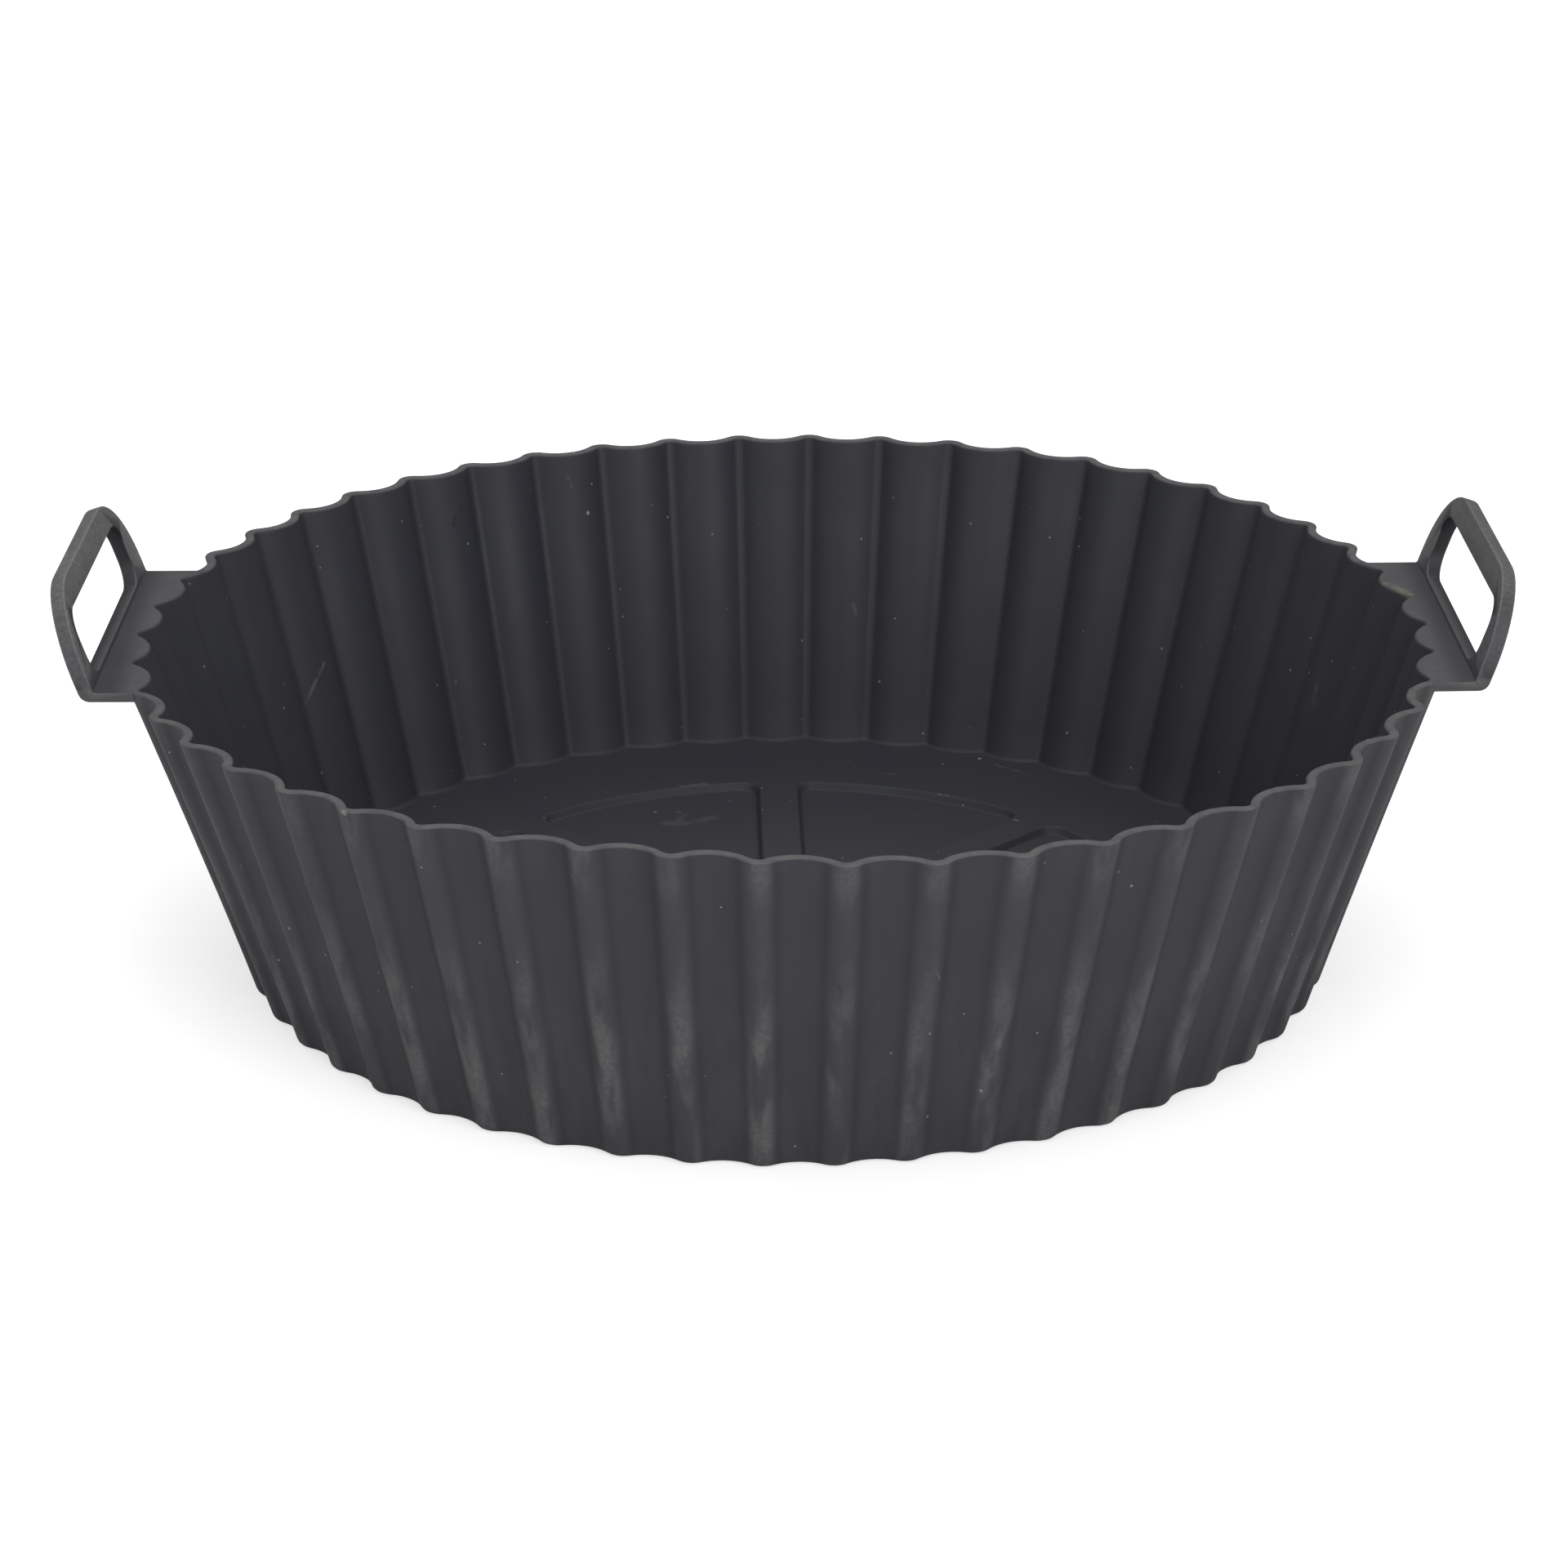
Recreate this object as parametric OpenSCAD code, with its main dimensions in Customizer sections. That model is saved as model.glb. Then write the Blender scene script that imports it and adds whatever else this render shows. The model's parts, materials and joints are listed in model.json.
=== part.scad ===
// Round basket liner moulded in one piece from soft silicone: a fluted bowl with a
// flat floor, sunk floor panels and a lifting loop on each side of the rim.

/* [Bowl] */
// Outside diameter over the flute crests at the rim
rim_d = 201; // [192:1:230]
// Outside diameter over the flute crests at the base
base_d = 170; // [150:1:184]
// Height from the underside to the rim
bowl_h = 53; // [40:1:80]
// Thickness of the fluted wall, square to its surface
wall_t = 1.4; // [1:0.1:2]
// Thickness of the floor outside the sunk panels
floor_t = 2.1; // [1.7:0.1:3.5]
// Outside radius where the wall turns under into the floor
heel_r = 1.8; // [0.8:0.1:3]
// Inside radius where the wall meets the floor
toe_r = 0.8; // [0.4:0.1:2]

/* [Flutes] */
// Number of flutes around the bowl, even so that both loops sit on a crest
flutes = 50; // [36:2:60]
// Depth of the flutes at the rim
rim_flute = 2.5; // [1.2:0.1:3.2]
// Depth of the flutes at the base
base_flute = 1.5; // [0.6:0.1:2.2]
// Rounding of the crests on the outside
crest_r = 2.8; // [2:0.1:3.4]

/* [Floor panels] */
// Number of sunk panels in the floor
panels = 8; // [4:1:10]
// Radius of the outer edge of the panels
panel_reach = 61.1; // [45:0.1:68]
// Radius of the plain hub inside the panels
hub_r = 17; // [13:0.5:30]
// Width of the spokes left between the panels
spoke_w = 6.4; // [4:0.2:9]
// Thickness of the floor in the panels
panel_t = 0.9; // [0.6:0.1:1.5]
// Run of the sloping walls around each panel
panel_run = 0.6; // [0.1:0.1:1]
// Rounding of the panel corners at the top of their walls
panel_corner_r = 3; // [1.2:0.1:4]

/* [Lifting loops] */
// Width of each ledge and of the loop's foot
loop_w = 54.6; // [44:0.2:60]
// How far the ledge runs out past the crests before it turns up
ledge_reach = 2.6; // [1.5:0.1:8]
// Thickness of the ledge, flush with the rim
ledge_t = 1.65; // [1.2:0.05:2.5]
// Height of the loop along its own slope
loop_h = 15.4; // [13:0.2:22]
// Thickness of the loop
loop_t = 2.3; // [1.6:0.1:3]
// Outward lean of the loop from upright
loop_lean = 19; // [5:1:30]
// Radius of the curved limbs
limb_r = 12.8; // [9:0.2:12.8]
// Width of the limbs beside the finger opening
limb_w = 5.6; // [3.5:0.2:8]
// Height of the grip bar above the finger opening
grip_h = 4.45; // [3:0.05:6]
// Height of the sill between the ledge and the finger opening
sill_h = 0.55; // [0.3:0.05:1.5]
// Rounding of the corners of the finger opening
opening_r = 3.8; // [1:0.1:4]
// Outside radius where the ledge turns up into the loop
knuckle_r = 2; // [0.8:0.1:2]
// Inside radius in the crook between the ledge and the loop
crook_r = 0.7; // [0.3:0.1:1.5]

/* [Hidden] */
$fn = 64;
silicone = "#48494d";
lap = 0.1;
crest_steps = 4;
lobe_steps = 4;
corner_steps = 5;
arc_steps = 6;
hub_steps = 2;
rim_r = rim_d / 2;
base_r = base_d / 2;
slope = (rim_r - base_r) / bowl_h;
draft = atan(slope);
wall_run = wall_t / cos(draft);
notch_r = 0.2;
crest_round = max(crest_r, wall_run + notch_r);
loop_foot_x = rim_r + ledge_reach;
ledge_seat = 0.25;
corner_share = 0.8;
limb_centre = loop_w / 2 - limb_r;
opening_top = loop_h - grip_h;
knuckle = min(knuckle_r, loop_t);

// Radius over the crests, and depth of the flutes, at a height
function crest_at(z) = base_r + slope * z;
function flute_at(z) = base_flute + (rim_flute - base_flute) * z / bowl_h;

// One flute, from a crest to the next, as [distance along the rim, drop from the crest].
// The crest is an arc that runs into the lobe's larger arc, and inset moves both inwards.
function flute_points(r, depth, inset) =
  let (half = PI * r / flutes,
       flank = 2 * atan(depth / half),
       lobe_r = half / sin(flank) - crest_round,
       crest_in = crest_round - inset,
       lobe_in = lobe_r + inset)
  concat(
    [for (i = [-crest_steps / 2 : crest_steps / 2])
      let (a = flank * i * 2 / crest_steps)
      [crest_in * sin(a), crest_round - crest_in * cos(a)]],
    [for (i = [1 : lobe_steps - 1])
      let (a = flank * (1 - 2 * i / lobe_steps))
      [half - lobe_in * sin(a), depth - lobe_r + lobe_in * cos(a)]]);

// Outline of the bowl at one height, over flutes number first to last, flute 0 starting at +X
function outline(r, z, inset, first, last) =
  let (one = flute_points(r, flute_at(z), inset))
  [for (k = [first : last], p = one)
    let (a = (k + p[0] * flutes / (2 * PI * r)) * 360 / flutes)
    [(r - p[1]) * cos(a), (r - p[1]) * sin(a), z]];

function ring(r, z, inset = 0) = outline(r, z, inset, 0, flutes - 1);

// The heel's rounding outside, then the wall up to the rim
outer_rings = concat(
  [for (a = [-90, -(90 + draft) / 2, -draft])
    let (z = heel_r * (1 + sin(a)))
    ring(crest_at(heel_r) - heel_r / cos(draft) + heel_r * cos(a), z)],
  [ring(rim_r, bowl_h)]);

// Back down inside, to the toe's rounding at the floor
inner_rings = concat(
  [ring(rim_r, bowl_h, wall_run)],
  [for (a = [draft, (90 + draft) / 2, 90])
    let (z = floor_t + toe_r * (1 - sin(a)),
         tuck = toe_r / cos(draft) - toe_r * cos(a) - slope * toe_r * sin(a))
    ring(crest_at(z) - tuck, z, wall_run)]);

// A solid lofted through rings that have as many points each, closed by the first and the last
module loft(rings) {
  n = len(rings[0]);
  last = len(rings) - 1;
  polyhedron(
    points = [for (r = rings, p = r) p],
    faces = concat(
      [[for (i = [0 : n - 1]) i]],
      [for (j = [0 : last - 1], i = [0 : n - 1]) [j * n + i, (j + 1) * n + i, (j + 1) * n + (i + 1) % n]],
      [for (j = [0 : last - 1], i = [0 : n - 1]) [j * n + i, (j + 1) * n + (i + 1) % n, j * n + (i + 1) % n]],
      [[for (i = [n - 1 : -1 : 0]) last * n + i]]));
}

// Points of an arc about c, from angle a to angle b, without the first one where skip is 1
function arc(c, r, a, b, steps, skip = 0) =
  [for (i = [skip : steps]) let (t = a + (b - a) * i / steps) c + r * [cos(t), sin(t)]];

// Outline of one sunk panel, inset from its edge: a sector about +X with round corners, the
// two at the hub no larger than fits there
function panel_points(inset) =
  let (half = 180 / panels,
       hub_room = (hub_r * sin(half) - spoke_w / 2) / (1 - sin(half)),
       hub_corner_r = min(panel_corner_r, corner_share * hub_room),
       far_r = panel_reach - panel_corner_r,
       near_r = hub_r + hub_corner_r,
       far = half - asin((spoke_w / 2 + panel_corner_r) / far_r),
       near = half - asin((spoke_w / 2 + hub_corner_r) / near_r),
       upper = concat(
         arc([0, 0], panel_reach - inset, 0, far, arc_steps),
         arc(far_r * [cos(far), sin(far)], panel_corner_r - inset, far, half + 90, corner_steps, 1),
         arc(near_r * [cos(near), sin(near)], hub_corner_r - inset, half + 90, near + 180, corner_steps),
         arc([0, 0], hub_r + inset, near, 0, hub_steps, 1)))
  concat(upper, [for (i = [len(upper) - 2 : -1 : 1]) [upper[i][0], -upper[i][1]]]);

function panel_ring(inset, z) = [for (p = panel_points(inset)) [p[0], p[1], z]];

// The panels' walls slope down to the thin floor in them
module floor_panels() {
  for (k = [0 : panels - 1])
    rotate((k + 0.5) * 360 / panels)
      loft([panel_ring(panel_run, panel_t), panel_ring(0, floor_t), panel_ring(0, floor_t + lap)]);
}

// Plan of the ledge: it follows the flutes inside the wall and ends square to the loop
module ledge_plan() {
  reach = ceil(asin(loop_w / 2 / rim_r) * flutes / 360) + 1;
  seat = outline(rim_r, bowl_h, wall_run * (1 - ledge_seat), -reach, reach - 1);
  turn = loop_foot_x;
  side = rim_r * sin(reach * 360 / flutes);
  intersection() {
    polygon(concat([for (p = seat) [p[0], p[1]]], [[turn, side], [turn, -side]]));
    translate([0, -loop_w / 2]) square([turn, loop_w]);
  }
}

// Side view of the loop, [outward, up] from the turn: foot, knuckle, leaning plate and crook
module loop_side() {
  up = [sin(loop_lean), cos(loop_lean)];
  out = [cos(loop_lean), -sin(loop_lean)];
  knuckle_x = (loop_t - knuckle) / cos(loop_lean) + (knuckle - ledge_t) * tan(loop_lean);
  crook_x = crook_r * (sin(loop_lean) - 1) / cos(loop_lean);
  polygon(concat(
    [[crook_x - lap, -ledge_t]],
    arc([knuckle_x, knuckle - ledge_t], knuckle, -90, -loop_lean, corner_steps),
    [loop_h * up + loop_t * out, loop_h * up],
    arc([crook_x, crook_r], crook_r, -loop_lean, -90, corner_steps),
    [[crook_x - lap, 0]]));
}

// Front view of the loop: two round limbs joined by the straight grip, down to the foot
module loop_front() {
  foot = ledge_t / cos(loop_lean) + loop_t;
  for (s = [-1, 1])
    translate([s * limb_centre, loop_h - limb_r]) circle(limb_r);
  translate([-limb_centre, -foot]) square([2 * limb_centre, foot + loop_h]);
  translate([-loop_w / 2, -foot]) square([loop_w, foot + loop_h - limb_r]);
}

// The finger opening, with round corners
module finger_opening() {
  w = loop_w - 2 * limb_w;
  h = opening_top - sill_h;
  translate([-w / 2, sill_h]) {
    translate([opening_r, 0]) square([w - 2 * opening_r, h]);
    translate([0, opening_r]) square([w, h - 2 * opening_r]);
    for (x = [opening_r, w - opening_r], y = [opening_r, h - opening_r])
      translate([x, y]) circle(opening_r);
  }
}

// Stands a front view up in the loop's leaning plane, deep enough to pass the foot
module in_loop_plane() {
  depth = 3 * loop_t + ledge_t;
  rotate([0, loop_lean, 0]) rotate([90, 0, 90])
    translate([0, 0, -depth]) linear_extrude(2 * depth) children();
}

module lifting_loop() {
  translate([0, 0, bowl_h - ledge_t]) linear_extrude(ledge_t) ledge_plan();
  translate([loop_foot_x, 0, bowl_h])
    difference() {
      intersection() {
        translate([0, loop_w / 2, 0]) rotate([90, 0, 0]) linear_extrude(loop_w) loop_side();
        in_loop_plane() loop_front();
      }
      in_loop_plane() finger_opening();
    }
}

module liner() {
  color(silicone)
    difference() {
      union() {
        loft(concat(outer_rings, inner_rings));
        for (a = [0, 180]) rotate(a) lifting_loop();
      }
      floor_panels();
    }
}

liner();
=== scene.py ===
import json
from math import asin, atan, atan2, cos, degrees, exp, hypot, pi, radians, sin, tan

import bmesh
import bpy
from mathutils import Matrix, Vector

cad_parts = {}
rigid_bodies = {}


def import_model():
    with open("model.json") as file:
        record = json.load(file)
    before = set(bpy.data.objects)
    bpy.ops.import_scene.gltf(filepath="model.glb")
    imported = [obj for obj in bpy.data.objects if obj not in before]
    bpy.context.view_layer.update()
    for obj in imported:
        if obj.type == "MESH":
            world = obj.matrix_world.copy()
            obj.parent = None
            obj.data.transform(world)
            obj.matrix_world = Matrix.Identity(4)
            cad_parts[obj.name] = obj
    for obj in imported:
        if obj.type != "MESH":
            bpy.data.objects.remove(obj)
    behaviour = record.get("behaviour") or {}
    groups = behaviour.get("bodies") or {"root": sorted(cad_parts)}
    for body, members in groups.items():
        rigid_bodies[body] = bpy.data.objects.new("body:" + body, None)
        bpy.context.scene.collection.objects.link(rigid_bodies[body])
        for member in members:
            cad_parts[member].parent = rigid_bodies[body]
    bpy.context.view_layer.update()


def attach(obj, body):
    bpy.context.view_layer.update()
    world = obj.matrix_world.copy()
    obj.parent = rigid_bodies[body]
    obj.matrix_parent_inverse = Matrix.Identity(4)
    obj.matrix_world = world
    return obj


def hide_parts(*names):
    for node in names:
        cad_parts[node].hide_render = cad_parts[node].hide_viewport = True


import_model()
mm = 0.001

# The bowl of the liner, moulded in one piece from soft silicone: a thin fluted wall that
# leans out to the rim, and a flat floor. One flute is drawn level by level, skinned, and
# copied around the bowl.
rim_radius = 100.5 * mm
base_radius = 85 * mm
bowl_height = 53 * mm
wall_thickness = 1.4 * mm
floor_thickness = 2.1 * mm
heel_radius = 1.8 * mm
toe_radius = 0.8 * mm
rim_edge_radius = 0.36 * mm
shoulder_drop = 0.25 * mm
underside_margin = 0.6 * mm
merge_distance = 0.01 * mm
flute_count = 50
flute_turn = 2 * pi / flute_count
rim_flute_depth = 2.5 * mm
base_flute_depth = 1.5 * mm
crest_radius = 2.8 * mm
crest_steps = 10
lobe_steps = 12
wall_levels = 9
up = (0, 0, 1)
wall_slope = (rim_radius - base_radius) / bowl_height
wall_draft = atan(wall_slope)
wall_run = wall_thickness / cos(wall_draft)


def start_object(name):
    """Starts an empty mesh object and opens it for editing."""
    bpy.ops.object.select_all(action="DESELECT")
    new = bpy.data.objects.new(name, bpy.data.meshes.new(name))
    bpy.context.scene.collection.objects.link(new)
    bpy.context.view_layer.objects.active = new
    new.select_set(True)
    bpy.ops.object.mode_set(mode="EDIT")
    bpy.ops.mesh.select_mode(type="VERT")
    return new


def select_only(wanted, kind="verts"):
    """Selects the vertices, edges or faces of the edited mesh that the test wanted picks."""
    mesh = bmesh.from_edit_mesh(bpy.context.object.data)
    for element in (mesh.faces, mesh.edges, mesh.verts):
        for e in element:
            e.select = False
    for e in getattr(mesh, kind):
        if wanted(e):
            e.select_set(True)
    if kind == "verts":
        mesh.select_flush(True)
    bmesh.update_edit_mesh(bpy.context.object.data)


def put_vertex(point):
    """Puts one vertex down, alone selected, as the start of a line."""
    mesh = bmesh.from_edit_mesh(bpy.context.object.data)
    for e in list(mesh.verts) + list(mesh.edges) + list(mesh.faces):
        e.select = False
    mesh.verts.new(point).select_set(True)
    bmesh.update_edit_mesh(bpy.context.object.data)


def spin_about(centre, turn, steps, axis=up, copies=False):
    """Draws an arc from what is selected, about an axis, or sets copies along it."""
    bpy.ops.mesh.spin(steps=steps, angle=-turn, center=centre, axis=axis, dupli=copies)


def draw_flute(radius, height, inset):
    """One flute at a height: the small arc of the crest, then the wide arc of the lobe."""
    depth = base_flute_depth + (rim_flute_depth - base_flute_depth) * height / bowl_height
    crest_x, lobe_edge = radius - crest_radius, radius - depth
    half_turn = flute_turn / 2
    square = crest_radius**2 - lobe_edge**2 - crest_x**2 + 2 * lobe_edge * crest_x * cos(half_turn)
    lobe_radius = square / (2 * (lobe_edge - crest_x * cos(half_turn) - crest_radius))
    lobe_x = (lobe_edge + lobe_radius) * cos(half_turn)
    lobe_y = (lobe_edge + lobe_radius) * sin(half_turn)
    flank = atan2(lobe_y, lobe_x - crest_x)
    small = crest_radius - inset
    put_vertex((crest_x + small * cos(flank), -small * sin(flank), height))
    spin_about((crest_x, 0, height), 2 * flank, crest_steps)
    spin_about((lobe_x, lobe_y, height), -2 * (flank - half_turn), lobe_steps)


def crest_at(height):
    """The bowl's radius over the crests at a height."""
    return base_radius + wall_slope * height


# [radius over the crests, height, inset from the outside] of each level, from the underside
# up the outside, over the rim and down to the floor. A level on each side, just under the rim's
# rounding, is its shoulder.
levels = []
heel_steps = 4
shoulder = bowl_height - rim_edge_radius - shoulder_drop
for i in range(heel_steps + 1):
    a = radians(-90) + (radians(90) - wall_draft) * i / heel_steps
    heel = heel_radius * (cos(a) - 1 / cos(wall_draft))
    levels.append((crest_at(heel_radius) + heel, heel_radius * (1 + sin(a)), 0))
for i in range(1, wall_levels):
    height = heel_radius + (shoulder - heel_radius) * i / wall_levels
    levels.append((crest_at(height), height, 0))
levels.append((crest_at(shoulder), shoulder, 0))
edge_steps = 3
for i in range(edge_steps + 1):
    a = radians(90) * i / edge_steps
    height = bowl_height - rim_edge_radius * (1 - sin(a))
    levels.append((crest_at(height), height, rim_edge_radius * (1 - cos(a))))
for i in range(edge_steps + 1):
    a = radians(90) * (1 - i / edge_steps)
    height = bowl_height - rim_edge_radius * (1 - sin(a))
    levels.append((crest_at(height), height, wall_run - rim_edge_radius * (1 - cos(a))))
toe_top = floor_thickness + toe_radius * (1 - sin(wall_draft))
levels.append((crest_at(shoulder), shoulder, wall_run))
for i in range(1, wall_levels):
    height = shoulder - (shoulder - toe_top) * i / wall_levels
    levels.append((crest_at(height), height, wall_run))
toe_steps = 4
for i in range(toe_steps + 1):
    a = wall_draft + (radians(90) - wall_draft) * i / toe_steps
    height = floor_thickness + toe_radius * (1 - sin(a))
    tuck = toe_radius * (1 / cos(wall_draft) - cos(a) - wall_slope * sin(a))
    levels.append((crest_at(height) - tuck, height, wall_run))

bowl = start_object("liner_body")
for radius, height, inset in levels:
    draw_flute(radius, height, inset)
line_length = crest_steps + lobe_steps + 1
for i in range(len(levels) - 1):
    select_only(lambda v: v.index // line_length in (i, i + 1))
    bpy.ops.mesh.bridge_edge_loops()

# the flute is copied around the bowl, and the underside is closed, with a narrow flat border that
# keeps the heel's smooth shading off the rest of it
bpy.ops.mesh.select_all(action="SELECT")
middle = (0, 0, 0)
spin_about(middle, 2 * pi - flute_turn, flute_count - 1, copies=True)
bpy.ops.mesh.select_all(action="SELECT")
bpy.ops.mesh.remove_doubles(threshold=merge_distance)
same = 0.001 * mm
select_only(lambda e: e.is_boundary and all(v.co.z < same for v in e.verts), "edges")
bpy.ops.mesh.edge_face_add()
bpy.ops.mesh.inset(thickness=underside_margin)

# The floor of the bowl carries eight sunk panels with sloping walls, pressed into it by the mould,
# with plain spokes left between them and a plain hub in the middle. The soft floor has crept a
# little towards the back.
panel_count = 8
panel_reach = 61.1 * mm
hub_radius = 17 * mm
spoke_width = 6.4 * mm
panel_thickness = 0.9 * mm
panel_wall_run = 0.6 * mm
panel_corner = 3 * mm
panel_edge_radius = 0.25 * mm
panel_margin = 0.6 * mm
floor_margin = 0.4 * mm
panel_creep = 1.8 * mm
panel_half = pi / panel_count
clear = spoke_width / 2 + panel_corner
far_radius = panel_reach - panel_corner
near_radius = hub_radius + panel_corner
far_turn = panel_half - asin(clear / far_radius)
near_turn = panel_half - asin(clear / near_radius)
far_steps = 30
corner_steps = 8
hub_steps = 6


def on_floor(radius, turn):
    """A point on the floor, seen from its middle."""
    return radius * cos(turn), radius * sin(turn), floor_thickness


put_vertex(on_floor(panel_reach, -far_turn))
spin_about(middle, 2 * far_turn, far_steps)
spin_about(on_floor(far_radius, far_turn), panel_half + pi / 2 - far_turn, corner_steps)
straight = Vector(on_floor(near_radius, near_turn)) - Vector(on_floor(far_radius, far_turn))
bpy.ops.mesh.extrude_vertices_move(TRANSFORM_OT_translate={"value": straight})
spin_about(on_floor(near_radius, near_turn), pi / 2 + near_turn - panel_half, corner_steps)
spin_about(middle, -2 * near_turn, hub_steps)
spin_about(on_floor(near_radius, -near_turn), pi / 2 + near_turn - panel_half, corner_steps)
straight = Vector(on_floor(far_radius, -far_turn)) - Vector(on_floor(near_radius, -near_turn))
bpy.ops.mesh.extrude_vertices_move(TRANSFORM_OT_translate={"value": straight})
spin_about(on_floor(far_radius, -far_turn), panel_half + pi / 2 - far_turn, corner_steps)
bpy.ops.mesh.select_linked()
bpy.ops.mesh.remove_doubles(threshold=merge_distance)
bpy.ops.mesh.select_linked()
bpy.ops.transform.rotate(value=panel_half, orient_axis="Z", center_override=(0, 0, 0))
spin_about(middle, 2 * pi - 2 * panel_half, panel_count - 1, copies=True)
select_only(lambda v: not v.link_faces)
bpy.ops.transform.translate(value=(0, panel_creep, 0))


def lies_at(element, height):
    """True for an edge or a face that lies level at a height."""
    return all(abs(v.co.z - height) < same for v in element.verts)


def panel_edge(e, height):
    """True for a sunk panel's edge, with flat floor on one side and a side wall on the other."""
    flat = [lies_at(f, height) for f in e.link_faces]
    inside = all(hypot(v.co.x, v.co.y - panel_creep) < panel_reach + same for v in e.verts)
    return inside and lies_at(e, height) and sorted(flat) == [False, True]


# the outlines become faces, the floor is filled in between them, and the panels are pressed in
select_only(lambda e: not e.link_faces, "edges")
bpy.ops.mesh.edge_face_add()
select_only(lambda e: e.is_boundary and lies_at(e, floor_thickness), "edges")
bpy.ops.mesh.fill()
select_only(lambda f: lies_at(f, floor_thickness) and len(f.verts) == 3, "faces")
bpy.ops.mesh.inset(thickness=floor_margin)
select_only(lambda f: lies_at(f, floor_thickness) and len(f.verts) > 4, "faces")
bpy.ops.mesh.inset(thickness=panel_wall_run, depth=panel_thickness - floor_thickness)
bpy.ops.mesh.inset(thickness=panel_margin)
bpy.ops.mesh.select_all(action="SELECT")
bpy.ops.mesh.normals_make_consistent(inside=False)
for height in (floor_thickness, panel_thickness):
    select_only(lambda e: panel_edge(e, height), "edges")
    bpy.ops.mesh.bevel(offset=panel_edge_radius, segments=edge_steps, affect="EDGES")
bpy.ops.object.mode_set(mode="OBJECT")

# A lifting loop stands on each side of the rim: a ledge flush with the rim turns up into a
# leaning loop with a finger opening. It belongs to the same moulding, so it is joined to the bowl.
loop_width = 54.6 * mm
loop_height = 15.4 * mm
loop_thickness = 2.3 * mm
loop_lean = radians(19)
limb_radius = 12.9 * mm
ledge_thickness = 1.65 * mm
ledge_reach = 1.8 * mm
ledge_inside = 14 * mm
foot = Vector((rim_radius + ledge_reach, 0, bowl_height))
knuckle_radius = 1.7 * mm
crook_radius = 0.35 * mm
opening_width = 43.4 * mm
opening_bottom = 0.65 * mm
opening_top = 10.95 * mm
opening_corner = 3.8 * mm
loop_edge_radius = 0.3 * mm
knuckle_steps = 5
crook_steps = 4
limb_steps = 16
opening_steps = 10
sharp_angle = radians(40)
across = (0, -1, 0)
along_loop = Vector((sin(loop_lean), 0, cos(loop_lean)))
through_loop = Vector((cos(loop_lean), 0, -sin(loop_lean)))


def combine(target, tool, operation):
    """Adds the tool to the target, or cuts it out of it, and removes the tool."""
    bpy.ops.object.select_all(action="DESELECT")
    bpy.context.view_layer.objects.active = target
    target.select_set(True)
    cut = target.modifiers.new("cut", "BOOLEAN")
    cut.operation = operation
    cut.object = tool
    cut.solver = "EXACT"
    bpy.ops.object.modifier_apply(modifier=cut.name)
    bpy.data.objects.remove(tool)


def line_to(point):
    """Draws a straight line on from the selected vertex."""
    mesh = bmesh.from_edit_mesh(bpy.context.object.data)
    here = next(v for v in mesh.verts if v.select).co
    bpy.ops.mesh.extrude_vertices_move(TRANSFORM_OT_translate={"value": Vector(point) - here})


loops = start_object("loops")
inner_end = Vector((rim_radius - ledge_inside, -loop_width / 2, bowl_height))
side = Vector((foot.x, -loop_width / 2, bowl_height))
below = Vector((0, 0, -ledge_thickness))
outer_x = (loop_thickness - knuckle_radius) / cos(loop_lean)
knuckle = side + below + Vector((0, 0, knuckle_radius))
knuckle.x += outer_x + (knuckle_radius - ledge_thickness) * tan(loop_lean)
crook = side + Vector((crook_radius * (sin(loop_lean) - 1) / cos(loop_lean), 0, crook_radius))
put_vertex(inner_end + below)
line_to(knuckle - Vector((0, 0, knuckle_radius)))
spin_about(knuckle, pi / 2 - loop_lean, knuckle_steps, axis=across)
line_to(side + loop_height * along_loop + loop_thickness * through_loop)
line_to(side + loop_height * along_loop)
line_to(crook + crook_radius * through_loop)
spin_about(crook, loop_lean - pi / 2, crook_steps, axis=across)
line_to(inner_end)
bpy.ops.mesh.select_all(action="SELECT")
bpy.ops.mesh.edge_face_add()
bpy.ops.mesh.extrude_region_move(TRANSFORM_OT_translate={"value": (0, loop_width, 0)})
bpy.ops.mesh.select_all(action="SELECT")
bpy.ops.mesh.normals_make_consistent(inside=False)


def runs_through_top(e):
    """True for the edges at the loop's two top corners, which run through its thickness."""
    heights = [(v.co - foot).dot(along_loop) for v in e.verts]
    return min(heights) > loop_height - same and abs(e.verts[0].co.y - e.verts[1].co.y) < same


def runs_through_loop(e):
    """True for the edges of the opening's cutter that run through the loop."""
    return abs((e.verts[0].co - e.verts[1].co).dot(through_loop)) > loop_thickness


select_only(runs_through_top, "edges")
bpy.ops.mesh.bevel(offset=limb_radius, segments=limb_steps, affect="EDGES")
bpy.ops.object.mode_set(mode="OBJECT")

# the finger opening is cut through the leaning loop
opening_height = opening_top - opening_bottom
centre = foot + (opening_bottom + opening_height / 2) * along_loop
bpy.ops.object.select_all(action="DESELECT")
bpy.ops.mesh.primitive_cube_add(size=1, location=centre, rotation=(0, loop_lean, 0))
cutter = bpy.context.object
cutter.scale = (4 * loop_thickness, opening_width, opening_height)
bpy.ops.object.transform_apply(location=True, rotation=True, scale=True)
bpy.ops.object.mode_set(mode="EDIT")
bpy.ops.mesh.select_mode(type="VERT")
select_only(runs_through_loop, "edges")
bpy.ops.mesh.bevel(offset=opening_corner, segments=opening_steps, affect="EDGES")
bpy.ops.object.mode_set(mode="OBJECT")
combine(loops, cutter, "DIFFERENCE")
bpy.ops.object.mode_set(mode="EDIT")
bpy.ops.mesh.select_mode(type="EDGE")
bpy.ops.mesh.select_all(action="DESELECT")
bpy.ops.mesh.edges_select_sharp(sharpness=sharp_angle)
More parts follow.
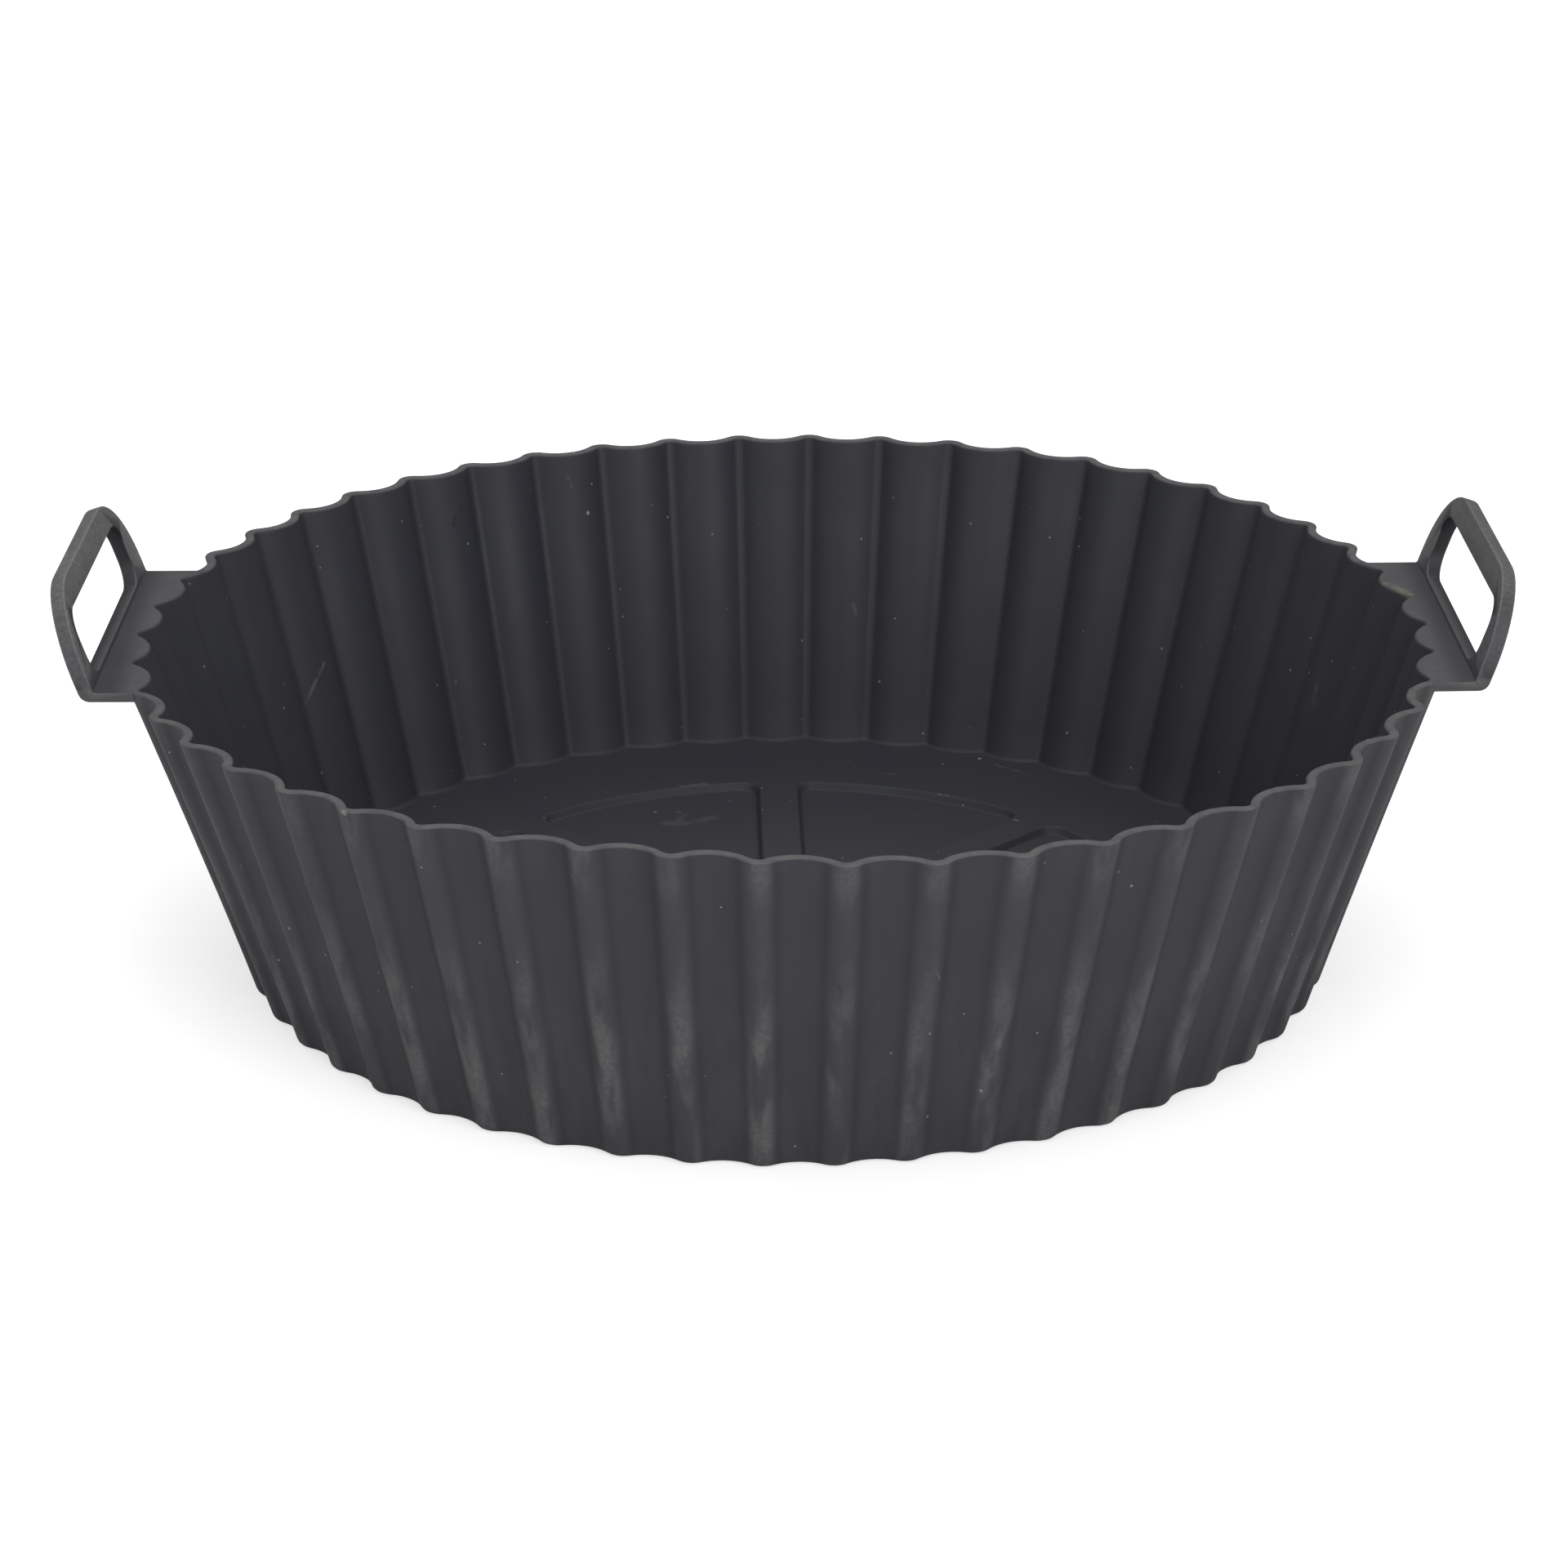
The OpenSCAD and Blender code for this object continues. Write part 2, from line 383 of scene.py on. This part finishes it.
mesh = bmesh.from_edit_mesh(loops.data)
# the ledge's inner end stays sharp, because it is cut away
for e in mesh.edges:
    if e.select and all(v.co.x < inner_end.x + same for v in e.verts):
        e.select_set(False)
bmesh.update_edit_mesh(loops.data)
bpy.ops.mesh.bevel(offset=loop_edge_radius, segments=edge_steps, affect="EDGES")
bpy.ops.mesh.select_mode(type="VERT")
bpy.ops.object.mode_set(mode="OBJECT")

# Each loop sits a little behind the crest that carries it. The left one is a copy of the right.
right_turn = radians(0.65)
left_turn = pi - radians(0.8)
loops.rotation_euler.z = right_turn
bpy.ops.object.transform_apply(location=False, rotation=True, scale=False)
bpy.ops.object.mode_set(mode="EDIT")
bpy.ops.mesh.select_all(action="SELECT")
spin_about(middle, left_turn - right_turn, 1, copies=True)
bpy.ops.object.mode_set(mode="OBJECT")

# inside, the ledges are cut back to the middle of the fluted wall
cut_above = 2 * mm
cut_depth = 6 * mm
cutter = start_object("inside")
draw_flute(rim_radius, bowl_height + cut_above, wall_run / 2)
bpy.ops.mesh.select_all(action="SELECT")
spin_about(middle, 2 * pi - flute_turn, flute_count - 1, copies=True)
bpy.ops.mesh.select_all(action="SELECT")
bpy.ops.mesh.remove_doubles(threshold=merge_distance)
bpy.ops.mesh.edge_face_add()
bpy.ops.mesh.extrude_region_move(TRANSFORM_OT_translate={"value": (0, 0, -cut_depth)})
bpy.ops.mesh.select_all(action="SELECT")
bpy.ops.mesh.normals_make_consistent(inside=False)
bpy.ops.object.mode_set(mode="OBJECT")
combine(loops, cutter, "DIFFERENCE")
combine(bowl, loops, "UNION")

# Three measures guide the colour: flute_wave is 1 on a crest of the wall, and -1 in the middle of a
# lobe and off the wall, the edge measure is 1 along the rounded edges of the rim and the loops and
# 0.5 on the sills and beside the ledges, where wear and painted highlights go, and in_opening is 1
# on the walls of the openings above the sills, where painted shade goes
flute_wave = bowl.data.attributes.new("flute_wave", "FLOAT", "POINT")
worn_highlit_edge = bowl.data.attributes.new("worn_highlit_edge", "FLOAT", "POINT")
in_opening = bowl.data.attributes.new("in_opening", "FLOAT", "POINT")
# a vertex with two short edges, and on no broad face, lies on a rounded edge
short_edge = 0.6 * loop_edge_radius
broad_area = (5 * mm)**2
rim_pale_edge_depth = 0.55 * rim_edge_radius
sill_pale_edge_depth = 0.1 * mm
opening_ramp = 4 * mm
short_edges = [0] * len(bowl.data.vertices)
for e in bowl.data.edges:
    one, other = (bowl.data.vertices[i] for i in e.vertices)
    if (one.co - other.co).length < short_edge:
        short_edges[one.index] += 1
        short_edges[other.index] += 1
broad = {i for f in bowl.data.polygons if f.area > broad_area for i in f.vertices}
for v in bowl.data.vertices:
    distance, angle = hypot(v.co.x, v.co.y), atan2(v.co.y, v.co.x)
    on_wall = distance < crest_at(v.co.z) + same
    flute_wave.data[v.index].value = cos(angle * flute_count) if on_wall else -1
    turn = angle - (right_turn if v.co.x > 0 else left_turn)
    rise = (Vector((distance * cos(turn), 0, v.co.z)) - foot).dot(along_loop)
    beside = abs(distance * sin(turn))
    opened = opening_bottom < rise < opening_top + same and beside < opening_width / 2 + same
    in_opening.data[v.index].value = min((rise - opening_bottom) / opening_ramp, 1) if opened else 0
    on_rim = on_wall and v.co.z > bowl_height - rim_pale_edge_depth
    rounded = on_rim or (not on_wall and short_edges[v.index] > 1)
    near_sill = abs(rise - opening_bottom) < sill_pale_edge_depth
    on_sill = near_sill and not on_wall and beside < opening_width / 2
    at_ledge = on_rim and beside < loop_width / 2
    if on_sill or at_ledge:
        worn_highlit_edge.data[v.index].value = 0.5
    else:
        worn_highlit_edge.data[v.index].value = rounded and v.index not in broad

# The empty liner is soft, and stands a little out of round: its front is pushed in and bulges to
# either side, its back is slack, and the loops' weight draws both sides towards the front.
stiffening = 1.3
smooth_angle = radians(38)
# [angle from the right loop, spread, outwards, anticlockwise] of each push at the rim
pushes = [
    (94, 67, -1.5 * mm, 0),
    (57, 25, 1.5 * mm, 0),
    (197, 26, 2.8 * mm, 0),
    (257, 18, -3.5 * mm, 0),
    (324, 49, 1.7 * mm, 0),
    (188, 21, 0, 2.4 * mm),
    (341, 31, 0, -1.9 * mm),
    (244, 13, 0, -0.9 * mm),
]
for v in bowl.data.vertices:
    distance, angle = hypot(v.co.x, v.co.y), degrees(atan2(v.co.y, v.co.x))
    share = min(v.co.z / bowl_height, 1) ** stiffening * min(distance / base_radius, 1)
    outwards = anticlockwise = 0
    for at, spread, out, along in pushes:
        near = share * exp(-(((angle - at + 180) % 360 - 180) / spread) ** 2)
        outwards += near * out
        anticlockwise += near * along
    radial = Vector((v.co.x, v.co.y, 0)).normalized()
    v.co += outwards * radial + anticlockwise * Vector((-radial.y, radial.x, 0))
bpy.ops.object.select_all(action="DESELECT")
bowl.select_set(True)
bpy.context.view_layer.objects.active = bowl
bpy.ops.object.shade_smooth_by_angle(angle=smooth_angle)

# The silicone is a charcoal one, coloured right through, with the satin skin of its mould. Use
# has left a pale bloom on the crests, rubbed edges, dusty loops, and a few scratches, smears and
# specks. Painted light lies over the colour too: painted shade in the creases beside the crests,
# in the loops' openings and where the ledges turn up, painted highlights on the rounded edges,
# painted sheen on the crests, and painted light and shade on the loops.
finish = bpy.data.materials.new("charcoal_silicone")
finish.use_nodes = True
tree = finish.node_tree
# the dark tone serves painted shade and dark marks, the pale one the bloom, dust, painted
# highlights and painted sheen
charcoal_blue = (0.0425, 0.0440, 0.0545, 1)
charcoal_violet = (0.0475, 0.0442, 0.0540, 1)
shade_and_mark_dark = (0.0240, 0.0232, 0.0290, 1)
bloom_and_highlight_tone = (0.160, 0.158, 0.158, 1)
loop_tone = (0.250, 0.247, 0.247, 1)
dust_tone = (0.54, 0.54, 0.53, 1)
stain_tone = (0.36, 0.38, 0.20, 1)


def add(kind, values=(), **settings):
    """Adds a node to the tree. Each input is given a value, or the output of another node."""
    new = tree.nodes.new("ShaderNode" + kind)
    for name, setting in settings.items():
        setattr(new, name, setting)
    for name, value in dict(values).items():
        if isinstance(value, bpy.types.NodeSocket):
            tree.links.new(value, new.inputs[name])
        else:
            new.inputs[name].default_value = value
    return new


def maths(operation, *values):
    """Works out one step of maths on values or outputs."""
    return add("Math", enumerate(values), operation=operation).outputs[0]


def product(first, *others):
    """Multiplies values or outputs with one another."""
    for other in others:
        first = maths("MULTIPLY", first, other)
    return first


def fade(value, start, end, low=0, high=1):
    """Runs softly from low to high as the value goes from start to end."""
    values = {"Value": value, "From Min": start, "From Max": end, "To Min": low, "To Max": high}
    return add("MapRange", values, interpolation_type="SMOOTHSTEP").outputs[0]


def patches(vector, scale, start, end, detail=2):
    """Soft patches of a noise, scale of them to the metre."""
    values = {"Vector": vector, "Scale": scale, "Detail": detail}
    return fade(add("TexNoise", values).outputs[0], start, end)


def lay_over(colour, layer, amount):
    """Lays a layer of another colour over a colour, by an amount."""
    return add("Mix", {0: amount, 6: colour, 7: layer}, data_type="RGBA").outputs[2]


coordinates = add("TexCoord").outputs
place = coordinates["Object"]
axes = add("SeparateXYZ", {0: place}).outputs
height = axes[2]
flat = add("CombineXYZ", {0: axes[0], 1: axes[1]}).outputs[0]
radial = add("VectorMath", {0: flat}, operation="NORMALIZE").outputs[0]
facing = add("VectorMath", {0: coordinates["Normal"], 1: radial}, operation="DOT_PRODUCT")
outside = fade(facing.outputs["Value"], 0.15, 0.6)
wave = add("Attribute", attribute_name="flute_wave").outputs["Fac"]
edge = add("Attribute", attribute_name="worn_highlit_edge").outputs["Fac"]
opening = add("Attribute", attribute_name="in_opening").outputs["Fac"]
fine = patches(place, 1300, 0.33, 0.67, 2)

# the colour drifts between blue and violet, and is more violet outside
violet_outside = 0.55
violet = product(patches(place, 42, 0.4, 0.6, 1), 1 - violet_outside)
violet = maths("MULTIPLY_ADD", outside, violet_outside, violet)
tone = lay_over(charcoal_blue, charcoal_violet, violet)

# outside, painted shade darkens the creases that border the crests, and the crests are painted a
# little paler, partly painted sheen and partly rubbing
crease_shade_strength = 0.3
crest_sheen_and_rub = 0.08
border = product(fade(wave, -0.45, 0.16), fade(wave, 0.4, 0.2), outside)
tone = lay_over(tone, shade_and_mark_dark, product(border, crease_shade_strength))
crest = product(fade(wave, 0.3, 0.7), outside)
tone = lay_over(tone, bloom_and_highlight_tone, product(crest, crest_sheen_and_rub))

# the bloom lies in upright streaks, full near the base and again near the rim
bloom_full = 16 * mm
bloom_faint = 40 * mm
rim_bloom_start = 43 * mm
rim_bloom_full = 51 * mm
bloom_strength = 0.72
low = fade(height, bloom_full, bloom_faint, 1, 0.12)
near_rim = fade(height, rim_bloom_start, rim_bloom_full, 0, 0.75)
upright = add("Mapping", {0: place, 3: (1, 1, 0.08)}).outputs[0]
tall = add("Mapping", {0: place, 3: (1, 1, 0.3)}).outputs[0]
streaks = product(patches(upright, 330, 0.36, 0.62, 3), patches(tall, 70, 0.28, 0.54))
ridge = product(fade(wave, 0.45, 0.98), outside)
beside_ridge = maths("MULTIPLY_ADD", crest, 0.3, product(outside, 0.12))
bloom = product(maths("MAXIMUM", low, near_rim), streaks, maths("MULTIPLY_ADD", fine, 0.4, 0.6))
bloom = product(bloom, maths("MULTIPLY_ADD", ridge, 0.6, beside_ridge))
tone = lay_over(tone, bloom_and_highlight_tone, product(bloom, bloom_strength))

# the rounded edges are painted pale, in places more so: partly rubbed wear, partly painted
# highlight
edge_wear_and_highlight = product(edge, maths("MULTIPLY_ADD", patches(place, 500, 0.3, 0.7, 3), 0.28, 0.41))
tone = lay_over(tone, bloom_and_highlight_tone, edge_wear_and_highlight)

# the loops are dusty; the left one is painted paler than the right, a painted light from the
# right, the faces turned to the front and back take less of the pale layer, a painted shade, the
# edges are painted paler still, dust and painted highlight, and the walls of the openings are
# painted dark, a painted shade
loop_dust_start = bowl_height + 0.3 * mm
loop_dust_full = bowl_height + 3 * mm
loop_dust_strength = 0.52
right_loop_painted_light = 0.72
normal = add("SeparateXYZ", {0: coordinates["Normal"]}).outputs
turned = maths("ABSOLUTE", normal[1])
painted_side_light = fade(axes[0], -rim_radius, rim_radius, 1, right_loop_painted_light)
off_opening = maths("SUBTRACT", 1, opening)
painted_end_shade = fade(turned, 0.3, 0.9, 1, 0.5)
grainy = maths("MULTIPLY_ADD", fine, 0.5, 0.75)
uneven = maths("MULTIPLY_ADD", patches(place, 130, 0.3, 0.7), 0.3, 0.85)
loop_dust_and_light = fade(height, loop_dust_start, loop_dust_full, 0, loop_dust_strength)
loop_dust_and_light = product(loop_dust_and_light, painted_side_light, off_opening, painted_end_shade, grainy, uneven)
tone = lay_over(tone, loop_tone, loop_dust_and_light)
tone = lay_over(tone, loop_tone, product(edge, loop_dust_and_light, 0.6))
tone = lay_over(tone, shade_and_mark_dark, opening)

# the ledges are dusty too, most of all at their ends, and painted shade darkens them where they
# turn up
ledge_bottom = bowl_height - ledge_thickness
ledge_dust_start = 94 * mm
ledge_dust_full = 97 * mm
ledge_end_dust = 0.35
ledge_top_dust = 0.12
sideways = maths("ABSOLUTE", axes[0])
along_ledge = fade(sideways, ledge_dust_start, ledge_dust_full)
above_bottom = fade(height, ledge_bottom - 0.15 * mm, ledge_bottom + 0.25 * mm)
below_loop = fade(height, bowl_height + 0.7 * mm, bowl_height + 0.2 * mm)
at_end = fade(turned, 0.7, 0.95, 0, ledge_end_dust)
on_top = fade(normal[2], 0.8, 0.95, 0, ledge_top_dust)
ledge_dust = product(along_ledge, above_bottom, below_loop, maths("MAXIMUM", at_end, on_top))
tone = lay_over(tone, bloom_and_highlight_tone, ledge_dust)
crook_shade_start = 98.5 * mm
crook_shade_full = 102.6 * mm
crook_shade_strength = 0.85
crook_shade = fade(sideways, crook_shade_start, crook_shade_full, 0, crook_shade_strength)
below_crook = fade(height, bowl_height + 0.6 * mm, bowl_height)
on_surface = fade(height, bowl_height - 1 * mm, bowl_height - 0.1 * mm)
crook_shade = product(crook_shade, below_crook, on_surface, fade(turned, 0.9, 0.4))
tone = lay_over(tone, shade_and_mark_dark, crook_shade)

# specks of dust lie all over: each cell of a pattern draws whether it holds one, and how large
cells_to_the_metre = 380
smallest_speck = 0.04
speck_spread = 0.07
speck_share = 0.28
speck_strength = 0.42
specks = add("TexVoronoi", {"Vector": place, "Scale": cells_to_the_metre}).outputs
draw = add("SeparateColor", {0: specks["Color"]}).outputs
speck_size = maths("MULTIPLY_ADD", draw[1], speck_spread, smallest_speck)
speck = fade(maths("DIVIDE", specks["Distance"], speck_size), 1, 0.5)
speck = product(speck, maths("GREATER_THAN", draw[0], 1 - speck_share), speck_strength)
tone = lay_over(tone, dust_tone, speck)

# a mark is a short line on the surface, 1 along its middle and nothing from half its width out
mark_group = bpy.data.node_groups.new("mark", "ShaderNodeTree")
mark_group.interface.new_socket(name="Point", in_out="INPUT", socket_type="NodeSocketVector")
mark_group.interface.new_socket(name="Start", in_out="INPUT", socket_type="NodeSocketVector")
mark_group.interface.new_socket(name="End", in_out="INPUT", socket_type="NodeSocketVector")
mark_group.interface.new_socket(name="Width", in_out="INPUT", socket_type="NodeSocketFloat")
mark_group.interface.new_socket(name="Mask", in_out="OUTPUT", socket_type="NodeSocketFloat")
tree = mark_group
given = tree.nodes.new("NodeGroupInput").outputs
line = add("VectorMath", {0: given["End"], 1: given["Start"]}, operation="SUBTRACT").outputs[0]
reach = add("VectorMath", {0: given["Point"], 1: given["Start"]}, operation="SUBTRACT").outputs[0]
along_line = add("VectorMath", {0: reach, 1: line}, operation="DOT_PRODUCT").outputs["Value"]
line_square = add("VectorMath", {0: line, 1: line}, operation="DOT_PRODUCT").outputs["Value"]
part = add("Clamp", {0: maths("DIVIDE", along_line, line_square)}).outputs[0]
nearest = add("VectorMath", {0: line, "Scale": part}, operation="SCALE").outputs[0]
away = add("VectorMath", {0: reach, 1: nearest}, operation="DISTANCE").outputs["Value"]
mask = fade(maths("DIVIDE", away, given["Width"]), 0.5, 0.15)
tree.links.new(mask, tree.nodes.new("NodeGroupOutput").inputs["Mask"])
tree = finish.node_tree

# the points in mm that each mark runs through, its width, and how strongly it shows
pale_marks = [
    ([(-78.8, 44.0, 24.1), (-78.0, 44.7, 25.6), (-77.2, 45.7, 27.1), (-76.5, 46.7, 28.4),
      (-75.8, 48.2, 29.6)], 0.9, 0.10),
    ([(-19.1, 47.1, 0.9), (-17.0, 47.0, 0.9), (-15.8, 46.8, 0.9), (-13.5, 48.2, 0.9),
      (-11.6, 49.4, 0.9)], 3.2, 0.045),
    ([(-17.0, 48.5, 0.9), (-15.8, 51.2, 0.9)], 2.0, 0.045),
    ([(-17.0, 52.0, 0.9), (-17.0, 52.4, 0.9)], 1.2, 0.06),
    ([(-21.0, 52.4, 0.9), (-20.9, 52.5, 0.9)], 0.9, 0.50),
    ([(-16.6, 61.2, 2.1), (-12.2, 62.2, 2.1)], 1.2, 0.10),
    ([(17.4, 66.6, 2.1), (20.2, 66.0, 2.1)], 0.9, 0.06),
    ([(27.3, 56.7, 2.1), (28.8, 56.1, 2.1)], 0.9, 0.20),
    ([(37.5, 70.3, 2.1), (43.2, 65.5, 2.1)], 0.9, 0.06),
    ([(35.1, 73.1, 2.1), (35.2, 73.1, 2.1)], 0.8, 0.75),
    ([(39.1, 44.7, 2.1), (39.9, 43.9, 2.1)], 0.9, 0.15),
    ([(-35.6, 87.3, 49.2), (-35.1, 87.1, 47.5)], 0.9, 0.06),
    ([(13.7, 88.0, 25.4), (14.1, 87.6, 23.4)], 0.9, 0.05),
    ([(87.2, 26.8, 32.9), (86.8, 26.7, 31.1), (86.5, 26.1, 29.3)], 1.6, 0.05),
    ([(18.9, -93.0, 34.3), (19.5, -91.8, 32.6)], 0.6, 0.08),
    ([(-64.1, -77.4, 52.7), (-64.4, -77.2, 52.7)], 1.2, 0.80),
    ([(-32.4, 87.2, 42.8), (-32.4, 87.2, 42.7)], 0.8, 0.60),
    ([(-55.0, 68.7, 18.7), (-55.0, 68.7, 18.6)], 0.8, 0.50),
]
stains = [
    ([(96.2, 17.5, 53.0), (97.6, 14.7, 53.0), (99.0, 12.2, 53.0)], 2.2, 0.25),
]
dark_marks = [
    ([(-53.7, 77.3, 47.0), (-54.8, 75.8, 45.7), (-55.1, 75.4, 44.4)], 0.8, 0.6),
    ([(5.1, -93.8, 32.6), (5.7, -93.6, 31.6)], 0.5, 0.5),
]


def lay_marks(colour, layer, marks):
    """Lays marks of one colour over another."""
    shown = 0
    for points, width, strength in marks:
        for start, end in zip(points, points[1:]):
            mark = add("Group", node_tree=mark_group)
            tree.links.new(place, mark.inputs["Point"])
            mark.inputs["Start"].default_value = [c * mm for c in start]
            mark.inputs["End"].default_value = [c * mm for c in end]
            mark.inputs["Width"].default_value = width * mm
            shown = maths("MAXIMUM", shown, product(mark.outputs["Mask"], strength))
    broken = maths("MULTIPLY_ADD", patches(place, 450, 0.38, 0.6, 3), 1.1, 0.2)
    return lay_over(colour, layer, product(shown, broken))


tone = lay_marks(tone, dust_tone, pale_marks)
tone = lay_marks(tone, stain_tone, stains)
tone = lay_marks(tone, shade_and_mark_dark, dark_marks)

# the skin is satin, rougher in patches and under the pale bloom, dust and edge layers, with a fine
# grain and soft lumps
satin_roughness = 0.49
dusty_roughness = 0.70
grain_depth = 0.06 * mm
lump_depth = 0.5 * mm
pale_layers = maths("MAXIMUM", maths("MAXIMUM", bloom, loop_dust_and_light), edge_wear_and_highlight)
satin = maths("ADD", patches(place, 45, 0.3, 0.7, 3), pale_layers)
rough = {"Value": satin, "From Max": 2, "To Min": satin_roughness, "To Max": dusty_roughness}
roughness = add("MapRange", rough).outputs[0]
grain = add("TexNoise", {"Vector": place, "Scale": 2600, "Detail": 2}).outputs[0]
lumps = add("TexNoise", {"Vector": place, "Scale": 70, "Detail": 1}).outputs[0]
grained = {"Strength": 0.35, "Distance": grain_depth, "Height": grain}
lumpy = {"Strength": 0.4, "Distance": lump_depth, "Height": lumps}
lumpy["Normal"] = add("Bump", grained).outputs[0]
skin = add("Bump", lumpy).outputs[0]
shader = tree.nodes["Principled BSDF"].inputs
shader["Specular IOR Level"].default_value = 0.36
tree.links.new(tone, shader["Base Color"])
tree.links.new(roughness, shader["Roughness"])
tree.links.new(skin, shader["Normal"])
bowl.data.materials.clear()
bowl.data.materials.append(finish)

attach(bowl, "root")
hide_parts("liner")

# The studio: a sheet of white paper that keeps the liner's shadow, with soft lamps at the front
# corners, overhead and behind, and a little light from all around. The paper lies a hair below the
# liner, so that the two don't share one plane, and glows white to the camera away from the shadow.
paper_size = 12
paper_gap = 0.02 * mm
shadow_reach = 0.25
glow_reach = 0.9
shadow_glow = 0.6
room_light = 0.16
bpy.ops.mesh.primitive_plane_add(size=paper_size, location=(0, 0, -paper_gap))
floor = bpy.context.object
floor.name = "floor"
paper = bpy.data.materials.new("paper")
paper.use_nodes = True
tree = paper.node_tree
seen = add("LightPath").outputs["Is Camera Ray"]
shader = tree.nodes["Principled BSDF"].inputs
shader["Base Color"].default_value = (0.9, 0.9, 0.9, 1)
shader["Roughness"].default_value = 0.9
shader["Emission Color"].default_value = (1, 1, 1, 1)
spot = add("TexCoord").outputs["Object"]
from_middle = add("VectorMath", {0: spot}, operation="LENGTH").outputs["Value"]
glow = product(seen, fade(from_middle, shadow_reach, glow_reach, shadow_glow, 1))
tree.links.new(glow, shader["Emission Strength"])
floor.data.materials.append(paper)

world = bpy.data.worlds.new("studio")
bpy.context.scene.world = world
world.use_nodes = True
tree = world.node_tree
background = tree.nodes["Background"].inputs
background["Color"].default_value = (1, 1, 1, 1)
seen = add("LightPath").outputs["Is Camera Ray"]
tree.links.new(fade(seen, 0, 1, room_light, 1), background["Strength"])


def soft_lamp(name, position, size, power):
    """Sets a square lamp at a position, facing the liner."""
    lamp = bpy.data.lights.new(name, "AREA")
    lamp.size = size
    lamp.energy = power
    holder = bpy.data.objects.new(name, lamp)
    holder.location = position
    holder.rotation_euler = (-Vector(position)).to_track_quat("-Z", "Y").to_euler()
    bpy.context.scene.collection.objects.link(holder)


soft_lamp("lamp_right", (0.8, -1.4, 0.75), 1.2, 11.7)
soft_lamp("lamp_left", (-0.9, -1.3, 0.75), 1.2, 6.2)
soft_lamp("lamp_top", (0, -0.1, 1.4), 1.2, 6)
soft_lamp("lamp_back", (0, 1.1, 1.1), 1.0, 3.6)
soft_lamp("lamp_behind_right", (1.3, 0.9, 0.8), 1.0, 2.4)
soft_lamp("lamp_behind_left", (-1.3, 0.9, 0.8), 1.0, 2.4)

# the camera stands and looks as the photograph's did, fitted to the rim, the base and the loops
camera = bpy.data.cameras.new("camera")
camera.lens = 113.75
camera.sensor_width = 36
view = bpy.data.objects.new("camera", camera)
bpy.context.scene.collection.objects.link(view)
sight = Vector((0.02017, 0.93117, -0.36403))
view.location = (-0.01613, -0.72781, 0.31078)
view.rotation_euler = sight.to_track_quat("-Z", "Y").to_euler()
bpy.context.scene.camera = view
bpy.context.scene.view_settings.view_transform = "Standard"
